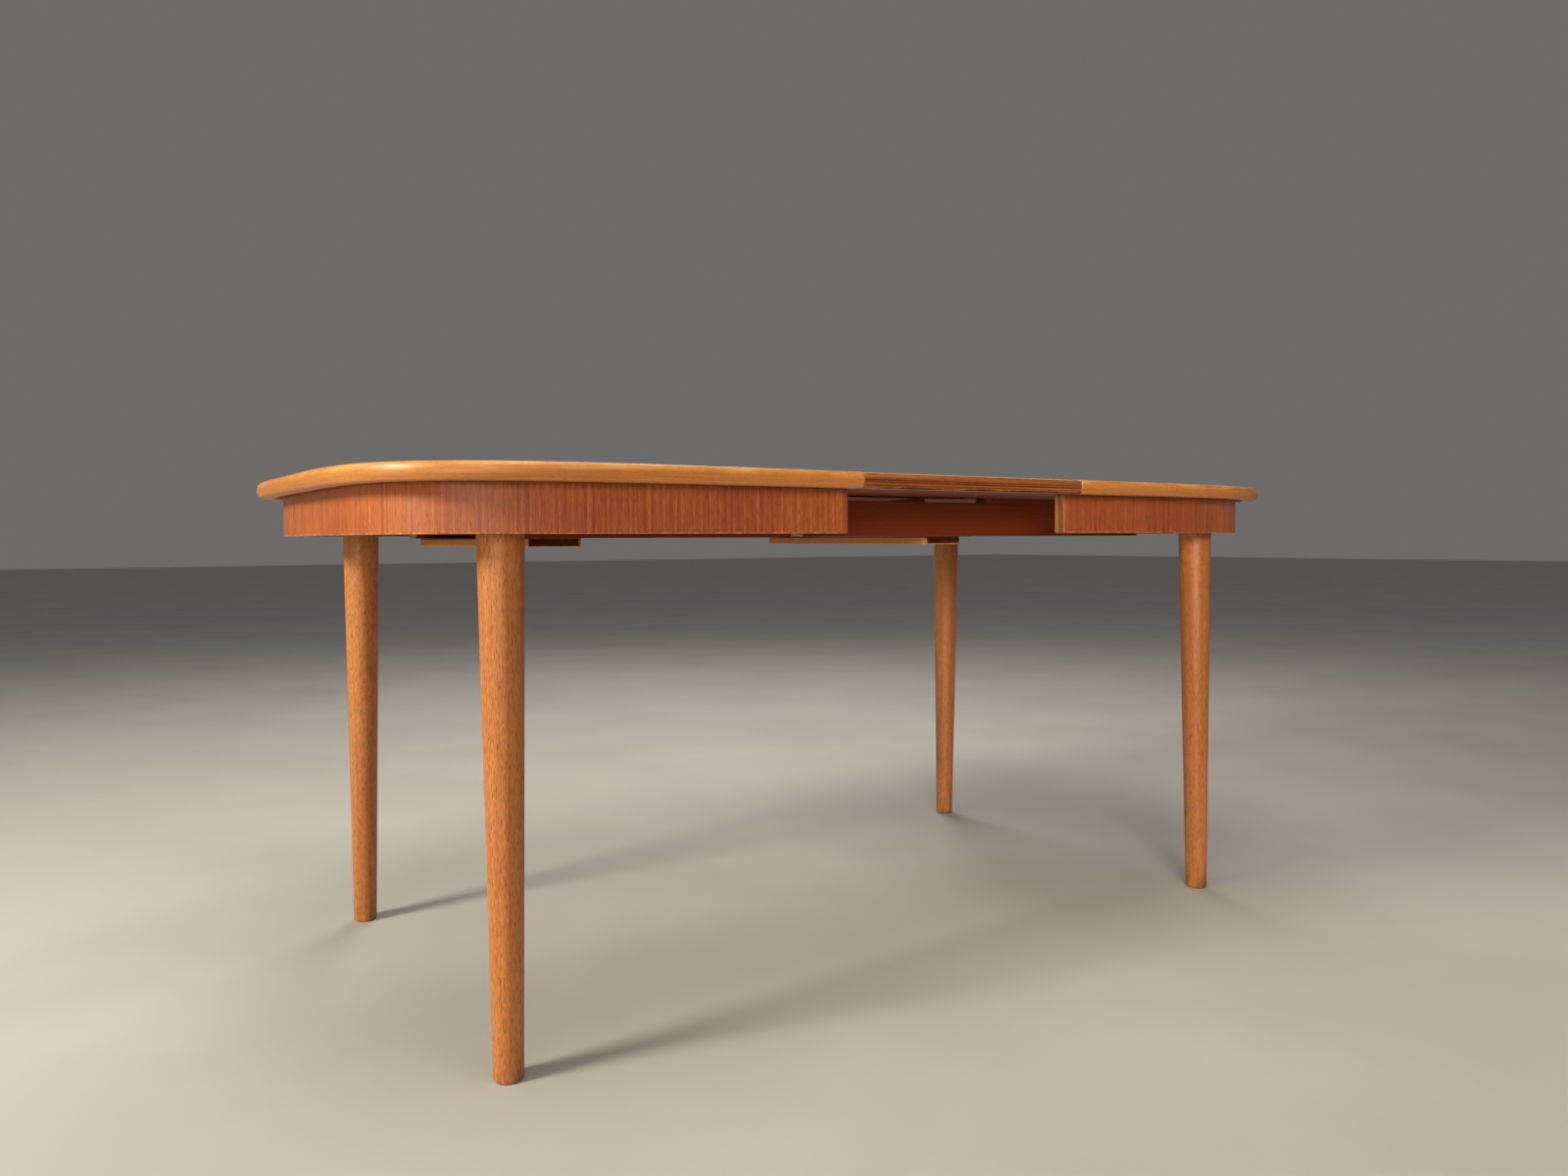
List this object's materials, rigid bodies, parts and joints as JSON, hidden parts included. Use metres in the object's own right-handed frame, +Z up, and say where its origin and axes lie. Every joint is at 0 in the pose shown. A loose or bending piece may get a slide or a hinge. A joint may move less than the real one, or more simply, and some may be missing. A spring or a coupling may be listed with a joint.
{
  "type": "extending dining table",
  "caption": "Rounded dining table on tapered round legs; its two half tops slide apart on wooden rails round a lift-in leaf.",
  "frame": {"origin": "on the floor under the middle of the extended table", "axes": "+X along the table's length, -Y the front side, +Z up"},
  "size_m": [1.641, 0.912, 0.72],
  "materials": {
    "top_veneer": "satin oiled veneer, straight grain along the table",
    "edge_wood": "satin oiled solid wood, rounded nose",
    "leaf_edge_wood": "darker striped solid wood, satin",
    "apron_veneer": "satin veneer with upright grain",
    "leg_wood": "satin oiled solid wood, grain along the leg",
    "rail_wood": "dull dark red-brown solid wood",
    "board_wood": "raw sawn light wood with dark stained ends",
    "block_wood": "raw light hardwood",
    "steel": "plain steel",
    "brass_insert": "turned brass"
  },
  "bodies": {
    "left_half": {"front_leaf_bearer": "board_wood", "inner_board_front_screw_1": "steel", "inner_board_front_screw_2": "steel", "inner_board_rear_screw_1": "steel", "inner_board_rear_screw_2": "steel", "inner_cross_board": "board_wood", "left_apron": "apron_veneer", "left_edge_band": "edge_wood", "left_end_glue_block": "block_wood", "left_front_glue_block": "block_wood", "left_front_hanger_bolt": "steel", "left_front_leg": "leg_wood", "left_front_leg_block": "block_wood", "left_front_leg_insert": "brass_insert", "left_front_rail": "rail_wood", "left_front_rail_screw_1": "steel", "left_front_rail_screw_2": "steel", "left_rear_glue_block": "block_wood", "left_rear_hanger_bolt": "steel", "left_rear_leg": "leg_wood", "left_rear_leg_block": "block_wood", "left_rear_leg_insert": "brass_insert", "left_rear_rail": "rail_wood", "left_rear_rail_screw_1": "steel", "left_rear_rail_screw_2": "steel", "left_top_panel": "top_veneer", "outer_board_front_screw_1": "steel", "outer_board_front_screw_2": "steel", "outer_board_rear_screw_1": "steel", "outer_board_rear_screw_2": "steel", "outer_cross_board": "board_wood", "rear_leaf_bearer": "board_wood"},
    "right_half": {"front_slide_key": "rail_wood", "rear_slide_key": "rail_wood", "right_apron": "apron_veneer", "right_edge_band": "edge_wood", "right_end_glue_block": "block_wood", "right_front_glue_block": "block_wood", "right_front_hanger_bolt": "steel", "right_front_leg": "leg_wood", "right_front_leg_block": "block_wood", "right_front_leg_insert": "brass_insert", "right_front_rail": "rail_wood", "right_front_rail_screw_1": "steel", "right_front_rail_screw_2": "steel", "right_rear_glue_block": "block_wood", "right_rear_hanger_bolt": "steel", "right_rear_leg": "leg_wood", "right_rear_leg_block": "block_wood", "right_rear_leg_insert": "brass_insert", "right_rear_rail": "rail_wood", "right_rear_rail_screw_1": "steel", "right_rear_rail_screw_2": "steel", "right_top_panel": "top_veneer"},
    "leaf": {"leaf_front_edge": "leaf_edge_wood", "leaf_panel": "top_veneer", "leaf_rear_edge": "leaf_edge_wood"}
  },
  "joints": [
    {"name": "right_half_slide", "type": "slide", "parent": "left_half", "child": "right_half", "axis": [1, 0, 0], "range_m": [-0.4097, 0]},
    {"name": "leaf_lift", "type": "slide", "parent": "left_half", "child": "leaf", "axis": [0, 0, 1], "range_m": [0, 0.615]}
  ],
  "couplings": [
    {"joint": "leaf_lift", "follows": "right_half_slide", "ratio": -1.5}
  ]
}
